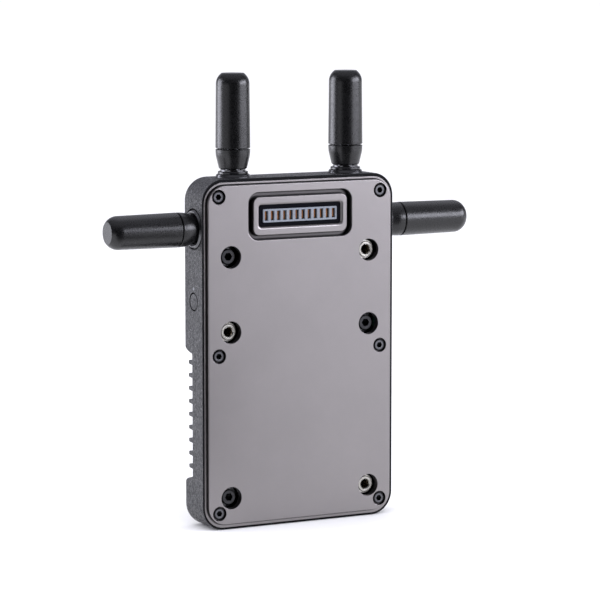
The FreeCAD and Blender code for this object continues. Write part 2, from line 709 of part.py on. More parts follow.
def mounting_bushes():
    """Steel threaded bushes for the host's screws: nose, shoulder and a shank in the pillar."""
    shoulder_end = -(FRAME_FRONT - HEAD_SINK)
    mouth = BUSH_BORE_RADIUS + BUSH_CHAMFER
    edge = 0.15
    bush = turned(
        [
            (0, mouth),
            (0, BUSH_NOSE_RADIUS - edge),
            (-edge, BUSH_NOSE_RADIUS),
            (-BUSH_NOSE_LENGTH, BUSH_NOSE_RADIUS),
            (-BUSH_NOSE_LENGTH, BUSH_SHOULDER_RADIUS),
            (shoulder_end, BUSH_SHOULDER_RADIUS),
            (shoulder_end, BUSH_SHANK_RADIUS),
            (-BUSH_LENGTH, BUSH_SHANK_RADIUS),
            (-BUSH_LENGTH, BUSH_BORE_RADIUS),
            (-BUSH_CHAMFER, BUSH_BORE_RADIUS),
        ]
    )
    return [to_front(bush, x, HEAD_SINK, z) for x, z in BUSHES]


# ---- inner frame, board and what is on it --------------------------------------------
def inner_frame():
    """Stamped ladder frame that ties the six pillars together."""
    depths = (FRAME_FRONT, FRAME_FRONT + FRAME_THICKNESS)
    middle = (FRAME_LOW + FRAME_HIGH) / 2
    frame = slab((FRAME_WIDTH, FRAME_HIGH - FRAME_LOW), PILLAR_RADIUS, depths, middle)
    window_width = FRAME_WIDTH - 2 * FRAME_BAR
    bars = sorted(DEEP_HOLE_ROWS)
    for low, high in zip(bars[:-1], bars[1:], strict=True):
        height = high - low - FRAME_BAR
        window = slab((window_width, height), FRAME_WINDOW_CORNER, depths, (low + high) / 2)
        frame = frame.cut(window)
    cuts = [peg(FRAME_NOTCH, x, z, depths) for x, z in COVER_SCREWS]
    cuts += [peg(FRAME_SHANK_RADIUS, x, z, depths) for x, z in FRAME_SCREWS]
    cuts += [peg(BUSH_SHANK_RADIUS + PRESS_CLEARANCE, x, z, depths) for x, z in BUSHES]
    return frame.cut(cuts)


def main_board():
    """Circuit board, cut away round pillars, bosses and jacks."""
    depths = (BOARD_FRONT, BOARD_BACK)
    wide, narrow, tab = (
        block((-half_width, half_width), depths, rows)
        for half_width, rows in (
            (BOARD_HALF_WIDTH, BOARD_WIDE_ROWS),
            (BOARD_NARROW_HALF_WIDTH, BOARD_NARROW_ROWS),
            (BOARD_TAB_HALF_WIDTH, BOARD_TAB_ROWS),
        )
    )
    board = wide.fuse([narrow, tab]).removeSplitter()
    cuts = [peg(PILLAR_RADIUS + BOARD_CLEARANCE, x, z, depths) for x, z in DEEP_HOLES]
    cuts += [peg(COVER_BOSS_RADIUS + BOARD_CLEARANCE, x, z, depths) for x, z in COVER_SCREWS]
    cuts += [peg(BOARD_SHANK_RADIUS + SCREW_CLEARANCE, x, z, depths) for x, z in BOARD_SCREWS]
    return board.cut(cuts)


def chip(place, thickness, front=BOARD_BACK, inset=0.0):
    """Flat package on the board, or a smaller one set in all round."""
    x, z, width, height = place
    half_x = width / 2 - inset
    half_z = height / 2 - inset
    depths = (front, front + thickness)
    return block((x - half_x, x + half_x), depths, (z - half_z, z + half_z))


def shield_can(place):
    """Thin drawn can with its open side against the board."""
    hollow = chip(place, CAN_DEPTH - CAN_WALL, inset=CAN_WALL)
    return chip(place, CAN_DEPTH).cut(hollow)


def board_parts():
    """Processor, memory, radios under their cans, inductors and heat pads."""
    pad_front = SHALLOW_FLOOR - PAD_THICKNESS
    chip_height = pad_front - BOARD_BACK
    hot_chips = (PROCESSOR, *MEMORY)
    add("processor", chip(PROCESSOR, chip_height))
    add("memory_chips", *[chip(place, chip_height) for place in MEMORY])
    add("thermal_pads", *[chip(place, PAD_THICKNESS, pad_front, PAD_INSET) for place in hot_chips])
    add("radio_chips", *[chip(place, RADIO_THICKNESS) for place in RADIOS])
    add("shield_cans", *[shield_can(place) for place in CANS])
    add("power_inductors", *[chip(place, INDUCTOR_THICKNESS) for place in INDUCTORS])


def contact_columns(size, depths):
    """Upright boxes on the twelve contact places."""
    first = -(CONTACT_COUNT - 1) / 2 * CONTACT_PITCH
    rows = (CONNECTOR_Z - size[1] / 2, CONNECTOR_Z + size[1] / 2)
    boxes = []
    for index in range(CONTACT_COUNT):
        x = first + index * CONTACT_PITCH
        boxes.append(block((x - size[0] / 2, x + size[0] / 2), depths, rows))
    return boxes


def contact_connector():
    """Pale slotted face, contact strips in its slots, and the black housing on the board."""
    face = slab(BLOCK_SIZE, BLOCK_CORNER, (BLOCK_SINK, BLOCK_BACK), CONNECTOR_Z)
    slots = contact_columns(SLOT_SIZE, (0, SLOT_FLOOR))
    surround_size = [length - 2 * SURROUND_GAP for length in WINDOW_SIZE]
    surround_depths = (SURROUND_FRONT, BASE_FRONT)
    surround_corner = WINDOW_CORNER - SURROUND_GAP
    surround = slab(surround_size, surround_corner, surround_depths, CONNECTOR_Z)
    base = slab(BASE_SIZE, BASE_CORNER, (BASE_FRONT, BOARD_FRONT), CONNECTOR_Z)
    housing = surround.fuse(base).removeSplitter()
    add("contact_block", face.cut(slots))
    add("contact_strips", *contact_columns(STRIP_SIZE, (STRIP_FRONT, SLOT_FLOOR)))
    add("connector_base", housing.cut([face, *slots]))


# ---- pairing button and status light -------------------------------------------------
def button_parts():
    """Flush round button, the side switch behind it, and the status light above it."""
    inner_wall = -SIDE_X + WALL
    flange = (inner_wall + BUTTON_FLANGE_GAP, inner_wall + BUTTON_FLANGE_GAP + BUTTON_FLANGE)
    cap = side_peg(BUTTON_RADIUS, BUTTON_DEPTH, BUTTON_Z, (-SIDE_X, flange[0] + 0.1))
    edge = [e for e in cap.Edges if all(abs(v.X + SIDE_X) < 0.01 for v in e.Vertexes)]
    cap = cap.makeFillet(BUTTON_EDGE_ROUND, edge)
    disc = side_peg(BUTTON_FLANGE_RADIUS, BUTTON_DEPTH, BUTTON_Z, flange)
    stem = side_peg(BUTTON_STEM_RADIUS, BUTTON_DEPTH, BUTTON_Z, (flange[1] - 0.1, PLUNGER_X))
    add("button_cap", cap.fuse([disc, stem]).removeSplitter())
    plunger_end = PLUNGER_X + PLUNGER_LENGTH
    plunger = (PLUNGER_X, plunger_end)
    add("switch_plunger", side_peg(PLUNGER_RADIUS, BUTTON_DEPTH, BUTTON_Z, plunger))
    switch_x = (SWITCH_FACE_X, SWITCH_FACE_X + SWITCH_SIZE[0])
    switch_depths = (BOARD_BACK, BOARD_BACK + SWITCH_SIZE[1])
    half = SWITCH_SIZE[2] / 2
    switch = block(switch_x, switch_depths, (BUTTON_Z - half, BUTTON_Z + half))
    bore_end = plunger_end + BUTTON_TRAVEL + SWITCH_SPARE
    bore_radius = PLUNGER_RADIUS + PLUNGER_GAP
    bore = side_peg(bore_radius, BUTTON_DEPTH, BUTTON_Z, (SWITCH_FACE_X - 1, bore_end))
    add("switch_body", switch.cut(bore))
    led_back = BOARD_BACK + LED_HEIGHT
    light_z = (LIGHT_Z - LIGHT_RADIUS, LIGHT_Z + LIGHT_RADIUS)
    add("status_led", block(LED_X, (BOARD_BACK, led_back), light_z))
    rod = side_peg(LIGHT_RADIUS, BUTTON_DEPTH, LIGHT_Z, (-SIDE_X, inner_wall + 0.5))
    guide = block((inner_wall, LED_X[1]), (led_back, BUTTON_DEPTH + GUIDE_REACH), light_z)
    add("light_pipe", rod.fuse(guide).removeSplitter())


# ---- antenna jacks -------------------------------------------------------------------
def jack_body(flange_radius):
    """Threaded coaxial jack with a flange outside the wall."""
    lead_in = 0.25
    return turned(
        [
            (JACK_TAIL_END, JACK_CONTACT_RADIUS + 0.2),
            (JACK_TAIL_END, JACK_TAIL_RADIUS),
            (JACK_SHANK_END, JACK_TAIL_RADIUS),
            (JACK_SHANK_END, JACK_THREAD_RADIUS),
            (0, JACK_THREAD_RADIUS),
            (0, flange_radius),
            (0.2 * JACK_FLANGE_HEIGHT, flange_radius),
            (JACK_FLANGE_HEIGHT, flange_radius - 0.4),
            (JACK_FLANGE_HEIGHT, JACK_HUB_RADIUS),
            (JACK_HUB_END, JACK_HUB_RADIUS),
            (JACK_HUB_END, JACK_THREAD_RADIUS),
            (JACK_BARREL_END - lead_in, JACK_THREAD_RADIUS),
            (JACK_BARREL_END, JACK_THREAD_RADIUS - lead_in),
            (JACK_BARREL_END, JACK_MOUTH_RADIUS),
            (JACK_MOUTH_FLOOR, JACK_MOUTH_RADIUS),
            (JACK_MOUTH_FLOOR, JACK_BORE_RADIUS),
            (JACK_SHANK_END + 0.6, JACK_BORE_RADIUS),
            (JACK_SHANK_END + 0.6, JACK_CONTACT_RADIUS + 0.2),
        ]
    )


def jack_seal(outer):
    """Rubber ring on the flange, with rounded shoulders."""
    base = JACK_FLANGE_HEIGHT
    top = base + JACK_SEAL_HEIGHT
    curve = 0.4
    ring = [(base, JACK_HUB_RADIUS), (base, outer - 0.15), (base + 0.2, outer)]
    for step in range(5):
        angle = math.radians(90) * step / 4
        along = top - curve + curve * math.sin(angle)
        ring.append((along, outer - curve + curve * math.cos(angle)))
    ring.append((top, JACK_HUB_RADIUS))
    return turned(ring)


def jack_insulator():
    tail = JACK_SHANK_END + 0.6
    return turned(
        [
            (tail, JACK_CONTACT_RADIUS),
            (tail, JACK_BORE_RADIUS),
            (JACK_MOUTH_FLOOR, JACK_BORE_RADIUS),
            (JACK_MOUTH_FLOOR, JACK_CONTACT_RADIUS),
        ]
    )


def jack_contact():
    """Centre contact with a socket for the antenna's pin."""
    tail = JACK_TAIL_END + 1.0
    socket_radius = PIN_RADIUS + 0.03
    socket_floor = PIN_START - 0.6
    return turned(
        [
            (tail, 0),
            (tail, JACK_CONTACT_RADIUS),
            (JACK_MOUTH_FLOOR, JACK_CONTACT_RADIUS),
            (JACK_MOUTH_FLOOR, socket_radius),
            (socket_floor, socket_radius),
            (socket_floor, 0),
        ]
    )


def jack_washer():
    ring = Part.makeCylinder(JACK_NUT_FLATS / 2 + 0.5, WASHER_THICKNESS)
    ring = ring.cut(Part.makeCylinder(JACK_HOLE_RADIUS, WASHER_THICKNESS))
    ring.translate(Vector(0, 0, -WALL - WASHER_THICKNESS))
    return ring


def jack_nut():
    nut = hexagon(JACK_NUT_FLATS, JACK_NUT_HEIGHT)
    nut = nut.cut(Part.makeCylinder(JACK_THREAD_RADIUS, JACK_NUT_HEIGHT))
    nut.translate(Vector(0, 0, -WALL - WASHER_THICKNESS - JACK_NUT_HEIGHT))
    return nut


def port_bezels():
    """Low conical rings round the side ports, let into the housing's sides."""
    ring = turned(
        [
            (SIDE_PORT_SINK - BEZEL_SINK, PORT_RECESS_RADIUS),
            (SIDE_PORT_SINK - BEZEL_SINK, BEZEL_NECK_RADIUS),
            (SIDE_PORT_SINK, BEZEL_NECK_RADIUS),
            (SIDE_PORT_SINK, BEZEL_FOOT_RADIUS),
            (SIDE_PORT_SINK + BEZEL_HEIGHT, BEZEL_RIM_RADIUS),
            (SIDE_PORT_SINK + BEZEL_HEIGHT, BEZEL_INNER_RADIUS),
            (SIDE_PORT_SINK + 0.15, PORT_RECESS_RADIUS),
        ]
    )
    return [aimed(ring, *PORTS[name]) for name in ("side_left", "side_right")]


def jacks():
    """Four jacks with their insulators, contacts, seals, washers and nuts."""
    shared = {
        "jack_insulators": jack_insulator(),
        "jack_contacts": jack_contact(),
        "jack_washers": jack_washer(),
        "jack_nuts": jack_nut(),
    }
    for name, shape in shared.items():
        add(name, *[aimed(shape, *port) for port in PORTS.values()])
    bodies = []
    seals = []
    for name, port in PORTS.items():
        on_top = name.startswith("top")
        flange_radius = TOP_FLANGE_RADIUS if on_top else SIDE_FLANGE_RADIUS
        seal_radius = TOP_SEAL_RADIUS if on_top else SIDE_SEAL_RADIUS
        bodies.append(aimed(jack_body(flange_radius), *port))
        seals.append(aimed(jack_seal(seal_radius), *port))
    add("antenna_jacks", *bodies)
    add("jack_seals", *seals)
    add("port_bezels", *port_bezels())


# ---- coaxial leads inside ------------------------------------------------------------
def bent_lead(start, corner, end):
    """Thin coaxial lead: a run, a tangent quarter turn and a second run."""
    first = (corner - start).normalize()
    second = (end - corner).normalize()
    into = corner - first * COAX_BEND
    out = corner + second * COAX_BEND
    centre = into + second * COAX_BEND
    middle = centre + (corner - centre).normalize() * COAX_BEND
    path = Part.Wire(
        [
            Part.LineSegment(start, into).toShape(),
            Part.Arc(into, middle, out).toShape(),
            Part.LineSegment(out, end).toShape(),
        ]
    )
    section = Part.Wire(Part.makeCircle(COAX_RADIUS, start, first))
    return path.makePipeShell([section], True, False)


def coax_parts():
    """Leads from the jacks to small snap-on plugs on the board's rear."""
    socket_back = BOARD_BACK + COAX_SOCKET_HEIGHT
    plug_back = ANTENNA_DEPTH + COAX_PLUG_REACH
    sockets = []
    plugs = []
    for name, (seat, direction) in PORTS.items():
        start = seat + direction * COAX_START
        side = math.copysign(1, seat.x)
        on_top = name.startswith("top")
        x, z = TOP_PLUG if on_top else (SIDE_PLUG_X, SIDE_ANTENNA_Z)
        x = side * x
        end = point(x + side * COAX_PLUG_RADIUS, ANTENNA_DEPTH, z)
        if on_top:
            lead = bent_lead(start, point(seat.x, ANTENNA_DEPTH, z), end)
        else:
            lead = Part.makeCylinder(COAX_RADIUS, (end - start).Length, start, end - start)
        add("coax_lead_" + name, lead)
        sockets.append(peg(COAX_SOCKET_RADIUS, x, z, (BOARD_BACK, socket_back)))
        plugs.append(peg(COAX_PLUG_RADIUS, x, z, (socket_back, plug_back)))
    add("coax_sockets", *sockets)
    add("coax_plugs", *plugs)


# ---- antennas ------------------------------------------------------------------------
def antenna_collar():
    """Threaded coupling collar that turns on the antenna's ferrule."""
    lip_bore = FERRULE_SHANK_RADIUS + 0.05
    return turned(
        [
            (COLLAR_START, COLLAR_BORE_RADIUS + COLLAR_LEAD_IN),
            *COLLAR_OUTLINE,
            (COLLAR_END, lip_bore),
            (COLLAR_LIP_START, lip_bore),
            (COLLAR_LIP_START, COLLAR_BORE_RADIUS),
            (COLLAR_START + COLLAR_LEAD_IN, COLLAR_BORE_RADIUS),
        ]
    )


def antenna_sleeve():
    """Moulded sleeve, gently tapered, with a rounded tip and a hollow for the radiator."""
    profile = [
        (SLEEVE_END, SLEEVE_TIP_RADIUS),
        (SLEEVE_END, 0),
        (SLEEVE_HOLLOW_END, 0),
        (SLEEVE_HOLLOW_END, SLEEVE_HOLLOW_RADIUS),
        (FERRULE_END, SLEEVE_HOLLOW_RADIUS),
        (FERRULE_END, FERRULE_SHANK_RADIUS),
        (SLEEVE_START, FERRULE_SHANK_RADIUS),
        (SLEEVE_START, SLEEVE_FOOT_RADIUS - SLEEVE_EDGE),
        (SLEEVE_START + SLEEVE_EDGE, SLEEVE_FOOT_RADIUS),
        (SLEEVE_SHOULDER, SLEEVE_SHOULDER_RADIUS),
    ]
    corners = [Vector(radius, 0, along) for along, radius in profile]
    along, radius = SLEEVE_TIP_MIDDLE
    edges = [Part.Arc(corners[-1], Vector(radius, 0, along), corners[0]).toShape()]
    for here, there in zip(corners[:-1], corners[1:], strict=True):
        edges.append(Part.LineSegment(here, there).toShape())
    outline = Part.Face(Part.Wire(Part.__sortEdges__(edges)))
    return outline.revolve(Vector(0, 0, 0), Vector(0, 0, 1), 360)


def antenna_ferrule():
    """Metal connector body that the collar turns on and the sleeve is moulded round."""
    return turned(
        [
            (FERRULE_FACE, FERRULE_BORE_RADIUS),
            (FERRULE_FACE, FERRULE_RADIUS),
            (FERRULE_FLANGE[0], FERRULE_RADIUS),
            (FERRULE_FLANGE[0], FERRULE_FLANGE_RADIUS),
            (FERRULE_FLANGE[1], FERRULE_FLANGE_RADIUS),
            (FERRULE_FLANGE[1], FERRULE_SHANK_RADIUS),
            (FERRULE_END, FERRULE_SHANK_RADIUS),
            (FERRULE_END, FERRULE_BORE_RADIUS),
        ]
    )


def antenna_insulator():
    start = FERRULE_FACE + 0.3
    return turned(
        [
            (start, PIN_RADIUS),
            (start, FERRULE_BORE_RADIUS),
            (FERRULE_END, FERRULE_BORE_RADIUS),
            (FERRULE_END, PIN_RADIUS),
        ]
    )


def antenna_radiator():
    """Centre pin and the radiator that grows out of it."""
    return turned(
        [
            (PIN_START, 0),
            (PIN_START, PIN_RADIUS - PIN_TIP),
            (PIN_START + PIN_TIP, PIN_RADIUS),
            (FERRULE_END, PIN_RADIUS),
            (FERRULE_END, RADIATOR_RADIUS),
            (RADIATOR_END, RADIATOR_RADIUS),
            (RADIATOR_END, 0),
        ]
    )


def antennas():
    """Four alike antennas, one on each port."""
    pieces = {
        "collar": antenna_collar(),
        "sleeve": antenna_sleeve(),
        "ferrule": antenna_ferrule(),
        "insulator": antenna_insulator(),
        "radiator": antenna_radiator(),
    }
    for port_name, port in PORTS.items():
        for piece_name, shape in pieces.items():
            add("antenna_" + port_name + "_" + piece_name, aimed(shape, *port))


def main():
    add("rear_housing", rear_housing())
    add("front_cover", front_cover())
    add("cover_gasket", cover_gasket())
    add("rim_seal", rim_seal())
    add("cover_screws", *cover_screws())
    add("frame_screws", *frame_screws())
    add("mounting_bushes", *mounting_bushes())
    add("inner_frame", inner_frame())
    add("main_board", main_board())
    add("board_screws", *board_screws())
    board_parts()
    contact_connector()
    button_parts()
    jacks()
    coax_parts()
    antennas()
    os.makedirs("parts", exist_ok=True)
    for name, shape in PARTS.items():
        solids = shape.Solids
        assert solids and all(s.isValid() for s in solids), name
        shape.exportStep("parts/" + name + ".step")
        print(f"{name:34s} solids {len(solids):2d}  volume {shape.Volume:9.1f}")


main()
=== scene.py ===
"""Studio scene for the wireless receiver module: finishes, floor, light and camera.

The CAD nodes are shown as they are. Each material slot gets a procedural finish, laid out in
the CAD's own coordinates, so that a mask can pick out a place on the object.
"""

import math
from functools import partial

import bpy
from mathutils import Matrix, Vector


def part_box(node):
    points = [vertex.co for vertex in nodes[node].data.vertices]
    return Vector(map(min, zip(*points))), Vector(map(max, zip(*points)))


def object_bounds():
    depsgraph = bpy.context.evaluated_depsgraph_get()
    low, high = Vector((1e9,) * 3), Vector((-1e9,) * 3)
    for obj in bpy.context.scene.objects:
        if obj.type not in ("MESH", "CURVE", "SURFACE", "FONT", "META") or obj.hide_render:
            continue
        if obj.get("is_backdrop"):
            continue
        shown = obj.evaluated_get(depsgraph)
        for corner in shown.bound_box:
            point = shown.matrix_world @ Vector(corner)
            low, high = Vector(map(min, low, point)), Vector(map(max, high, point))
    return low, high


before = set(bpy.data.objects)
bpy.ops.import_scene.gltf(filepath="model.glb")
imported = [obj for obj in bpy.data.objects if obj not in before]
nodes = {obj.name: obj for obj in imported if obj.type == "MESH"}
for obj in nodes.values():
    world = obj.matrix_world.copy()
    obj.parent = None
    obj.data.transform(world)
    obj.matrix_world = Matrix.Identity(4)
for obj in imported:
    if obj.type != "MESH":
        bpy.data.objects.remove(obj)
cad_box = [list(corner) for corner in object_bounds()]

MM = 0.001
FORWARD = (0, -1, 0)
BLACK = (0.0, 0.0, 0.0)
WHITE = (1.0, 1.0, 1.0)
# ranges that noise values mostly lie in; the narrower one gives more contrast
NOISE = (0.3, 0.7)
NOISE_SHARP = (0.35, 0.65)


# ---- node trees -----------------------------------------------------------------
class Nodes:
    """A node tree, and short names for the nodes that most shaders share."""

    def __init__(self, tree, place):
        self.tree = tree
        self.tree.nodes.clear()
        self.place = self.add("TexCoord").outputs[place]

    def add(self, kind):
        """New node, of the type ShaderNode + kind."""
        return self.tree.nodes.new("ShaderNode" + kind)

    def join(self, source, target):
        """Link an output, or set a plain value."""
        if isinstance(source, bpy.types.NodeSocket):
            self.tree.links.new(source, target)
        else:
            target.default_value = source

    def span(self, value, source, target=(0.0, 1.0), smooth=False):
        """Map a value from one range to another, clamped."""
        node = self.add("MapRange")
        node.interpolation_type = "SMOOTHSTEP" if smooth else "LINEAR"
        self.join(value, node.inputs["Value"])
        node.inputs["From Min"].default_value = source[0]
        node.inputs["From Max"].default_value = source[1]
        node.inputs["To Min"].default_value = target[0]
        node.inputs["To Max"].default_value = target[1]
        return node.outputs["Result"]

    def calc(self, operation, first, second=0.0, third=0.0):
        """Operation on one, two or three values."""
        node = self.add("Math")
        node.operation = operation
        for socket, value in zip(node.inputs, (first, second, third), strict=True):
            self.join(value, socket)
        return node.outputs["Value"]

    def vector(self, operation, first, second=None):
        """Vector operation; a dot product and a length give a value, the rest a vector."""
        node = self.add("VectorMath")
        node.operation = operation
        self.join(first, node.inputs[0])
        if second is not None:
            self.join(second, node.inputs[1])
        return node.outputs["Value" if operation in ("DOT_PRODUCT", "LENGTH") else "Vector"]

    def blend(self, factor, first, second):
        """Mix two colours."""
        node = self.add("Mix")
        node.data_type = "RGBA"
        self.join(factor, node.inputs["Factor"])
        colours = [socket for socket in node.inputs if socket.type == "RGBA"]
        for socket, value in zip(colours, (first, second), strict=True):
            linked = isinstance(value, bpy.types.NodeSocket)
            self.join(value if linked else (*value, 1), socket)
        return next(socket for socket in node.outputs if socket.type == "RGBA")

    def axis(self, name):
        """One coordinate of the place."""
        node = self.add("SeparateXYZ")
        self.join(self.place, node.inputs["Vector"])
        return node.outputs[name]

    def weighted(self, *terms):
        """Sum of two values, each given as (value, weight)."""
        first, second = (self.calc("MULTIPLY", value, weight) for value, weight in terms)
        return self.calc("ADD", first, second)

    def wave(self, value, pitch):
        """Sine wave of a length, at a pitch in millimetres."""
        return self.calc("SINE", self.calc("MULTIPLY", value, 2 * math.pi / (pitch * MM)))

    def hypotenuse(self, *sides):
        """Long side of a right-angled triangle."""
        squares = [self.calc("POWER", side, 2.0) for side in sides]
        return self.calc("SQRT", self.calc("ADD", *squares))

    def from_point(self, axes, point):
        """Distance to a point in the plane of two named axes."""
        sides = [
            self.calc("SUBTRACT", self.axis(name), middle)
            for name, middle in zip(axes, point, strict=True)
        ]
        return self.hypotenuse(*sides)


class Finish(Nodes):
    """One procedural material on the object."""

    def __init__(self, name):
        self.material = bpy.data.materials.new(name)
        self.material.use_nodes = True
        super().__init__(self.material.node_tree, "Object")
        output = self.add("OutputMaterial")
        self.shader = self.add("BsdfPrincipled")
        self.join(self.shader.outputs["BSDF"], output.inputs["Surface"])

    def set(self, **values):
        """Set the shader's sockets by name, with _ for a space."""
        for name, value in values.items():
            self.join(value, self.shader.inputs[name.replace("_", " ")])

    def paint_over(self, amount, colour):
        """Lay a colour over the linked base colour."""
        under = self.shader.inputs["Base Color"].links[0].from_socket
        self.set(Base_Color=self.blend(amount, under, colour))

    def noise(self, size, detail=3.0, rough=0.55, stretch=(1, 1, 1)):
        """Noise whose features are about size millimetres."""
        mapping = self.add("Mapping")
        mapping.inputs["Scale"].default_value = stretch
        self.join(self.place, mapping.inputs["Vector"])
        noise = self.add("TexNoise")
        noise.inputs["Scale"].default_value = 1 / (size * MM)
        noise.inputs["Detail"].default_value = detail
        noise.inputs["Roughness"].default_value = rough
        self.join(mapping.outputs["Vector"], noise.inputs["Vector"])
        return noise.outputs["Fac"]

    def cells(self, size):
        """Distance to the nearest of scattered points about size millimetres apart."""
        cells = self.add("TexVoronoi")
        cells.inputs["Scale"].default_value = 1 / (size * MM)
        self.join(self.place, cells.inputs["Vector"])
        return cells.outputs["Distance"]

    def radius(self, centres):
        """Distance to the nearest of some front-to-back axes through the given (x, z)."""
        nearest, *others = [self.from_point("XZ", centre) for centre in centres]
        for distance in others:
            nearest = self.calc("MINIMUM", nearest, distance)
        return nearest

    def from_outline(self, centre, half_size, corner):
        """Distance in x and z to a rounded rectangle's outline, on either side of it."""
        reach = []
        for name, middle, half in zip("XZ", centre, half_size, strict=True):
            away = self.calc("ABSOLUTE", self.calc("SUBTRACT", self.axis(name), middle))
            reach.append(self.calc("SUBTRACT", away, half - corner))
        outside = self.hypotenuse(*[self.calc("MAXIMUM", side, 0.0) for side in reach])
        inside = self.calc("MINIMUM", self.calc("MAXIMUM", *reach), 0.0)
        distance = self.calc("SUBTRACT", self.calc("ADD", outside, inside), corner)
        return self.calc("ABSOLUTE", distance)

    def soft_edges(self, radius):
        """Normal with every edge rounded by a radius in millimetres."""
        node = self.add("Bevel")
        node.samples = 4
        node.inputs["Radius"].default_value = radius * MM
        return node.outputs["Normal"]

    def edge_mask(self, rounded):
        """1 on rounded edges, 0 on open faces."""
        flat = self.add("NewGeometry").outputs["Normal"]
        return self.span(self.vector("DOT_PRODUCT", rounded, flat), (1.0, 0.93))

    def bump(self, height, depth, normal=None):
        """Relief of a height map, depth in millimetres."""
        node = self.add("Bump")
        node.inputs["Distance"].default_value = depth * MM
        self.join(height, node.inputs["Height"])
        if normal is not None:
            self.join(normal, node.inputs["Normal"])
        return node.outputs["Normal"]


# ---- places on the object -------------------------------------------------------
def middle_of(name):
    """Middle of a CAD node's box."""
    return [(low + high) / 2 for low, high in zip(*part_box(name), strict=True)]


def island_centres(mesh):
    """Centre (x, z) of each separate solid in a mesh whose faces may not share vertices."""
    parent = list(range(len(mesh.vertices)))

    def root(index):
        while parent[index] != index:
            parent[index] = parent[parent[index]]
            index = parent[index]
        return index

    first_at = {}
    for vertex in mesh.vertices:
        micrometres = tuple(round(value * 1e6) for value in vertex.co)
        parent[vertex.index] = root(first_at.setdefault(micrometres, vertex.index))
    for edge in mesh.edges:
        start, end = [root(index) for index in edge.vertices]
        parent[start] = end
    islands = {}
    for vertex in mesh.vertices:
        islands.setdefault(root(vertex.index), []).append(vertex.co)
    centres = []
    for points in islands.values():
        xs = [point.x for point in points]
        zs = [point.z for point in points]
        centres.append(((min(xs) + max(xs)) / 2, (min(zs) + max(zs)) / 2))
    return sorted(centres)


HOUSING_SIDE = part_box("rear_housing")[1][0]
PORT_CENTRE = middle_of("port_bezels")[1:]
PORT_GAP_RADIUS = 7.6 * MM
PORT_GAP_TOP = (0.1 * MM, 0.2 * MM)
PORT_GAP_FLOOR = 0.8 * MM

COVER_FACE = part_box("front_cover")[0][1]
# depth behind the cover's face over which sunk floors fade into painted shade
DEEP_FLOORS = (COVER_FACE + 1.6 * MM, COVER_FACE + 1.8 * MM)
# middle line of the moat round the contacts, and the fade of the painted shade into the
# corners of its floor
MOAT_CENTRE = middle_of("contact_block")[::2]
MOAT_HALF_SIZE = (20.14 * MM, 7.78 * MM)
MOAT_CORNER = 3.2 * MM
MOAT_SHADE_FADE = (0.15 * MM, 0.75 * MM)

BUSH_BORE_RADIUS = 1.65 * MM
BORE_TOLERANCE = 0.03 * MM


def port_gap_shade(look):
    """1 in the shadow gap round each side port, 0 elsewhere: where painted shade goes."""
    depth = look.calc("SUBTRACT", HOUSING_SIDE, look.calc("ABSOLUTE", look.axis("X")))
    under_top = look.span(depth, PORT_GAP_TOP)
    over_floor = look.calc("LESS_THAN", depth, PORT_GAP_FLOOR)
    near = look.calc("LESS_THAN", look.from_point("YZ", PORT_CENTRE), PORT_GAP_RADIUS)
    return look.calc("MULTIPLY", look.calc("MULTIPLY", under_top, over_floor), near)


def moat_corner_shade(look):
    """Painted shade: up to 0.95 where the moat's floor meets its walls, 0 on the rest of the
    cover.
    """
    from_middle = look.from_outline(MOAT_CENTRE, MOAT_HALF_SIZE, MOAT_CORNER)
    corners = look.span(from_middle, MOAT_SHADE_FADE, (0.0, 0.95), smooth=True)
    lowest = MOAT_CENTRE[1] - 2 * MOAT_HALF_SIZE[1]
    near_moat = look.calc("GREATER_THAN", look.axis("Z"), lowest)
    sunk = look.span(look.axis("Y"), DEEP_FLOORS)
    return look.calc("MULTIPLY", corners, look.calc("MULTIPLY", sunk, near_moat))


# ---- finishes -------------------------------------------------------------------
def textured_paint(name):
    """Fine-textured paint on cast metal, a little lighter on its edges, rougher and painted
    near black as shade in the gap round each side port.
    """
    look = Finish(name)
    rounded = look.soft_edges(0.1)
    gap = port_gap_shade(look)
    grain = look.noise(0.8, detail=4.0, rough=0.75)
    tone = look.weighted((grain, 0.85), (look.noise(9.0), 0.15))
    speckle = look.span(look.noise(0.9, detail=1.0), (0.36, 0.64), (0.26, 0.62))
    pits = look.span(look.cells(0.34), (0.0, 0.75))
    relief = look.weighted((grain, 0.7), (pits, 0.4))
    look.set(
        Base_Color=look.blend(
            look.span(tone, (0.36, 0.66)), (0.004, 0.004, 0.005), (0.024, 0.024, 0.028)
        ),
        Roughness=look.calc("MAXIMUM", speckle, gap),
        Normal=look.bump(relief, 0.34, rounded),
    )
    wear = look.span(look.noise(1.6), (0.35, 0.7), (0.3, 0.9))
    worn = look.calc("MULTIPLY", look.edge_mask(rounded), wear)
    look.paint_over(worn, (0.034, 0.034, 0.038))
    # painted shade: the gap round each side port is coloured near black
    look.paint_over(gap, (0.001, 0.001, 0.001))
    return look


